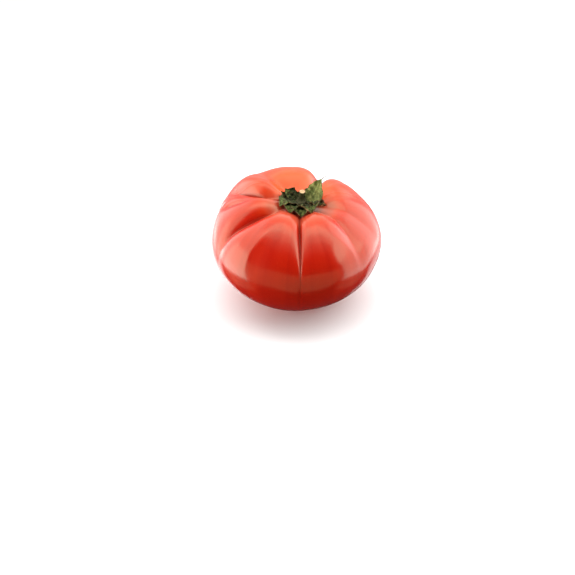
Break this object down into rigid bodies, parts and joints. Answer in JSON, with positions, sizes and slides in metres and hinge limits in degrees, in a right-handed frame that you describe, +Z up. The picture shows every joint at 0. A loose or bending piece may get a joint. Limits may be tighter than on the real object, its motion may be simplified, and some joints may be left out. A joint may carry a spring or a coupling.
{
  "type": "village tomato",
  "caption": "Large flattened tomato with deep ribs at the shoulders and a dried, crumpled green calyx round a cut stalk stub.",
  "frame": {"origin": "middle of the fruit's outline, on the surface that it rests on", "axes": "+Z up through the stalk; the deep front crease and the camera's side face -Y"},
  "size_m": [0.0968, 0.095, 0.0728],
  "materials": {
    "skin": "smooth waxy red tomato skin, orange towards the stalk, glossy",
    "stalk": "fibrous green stalk with a pale tan cut end",
    "calyx": "dried, finely hairy green leaf with brown edges, matt"
  },
  "bodies": {
    "root": {"fruit": "skin", "pedicel_stub": "stalk", "sepal_front": "calyx", "sepal_front_left": "calyx", "sepal_front_right": "calyx", "sepal_right_curled": "calyx", "sepal_right_tall": "calyx", "sepal_back": "calyx", "sepal_back_short": "calyx", "sepal_back_left": "calyx", "sepal_left_upright": "calyx", "sepal_left_curled": "calyx"}
  },
  "joints": []
}
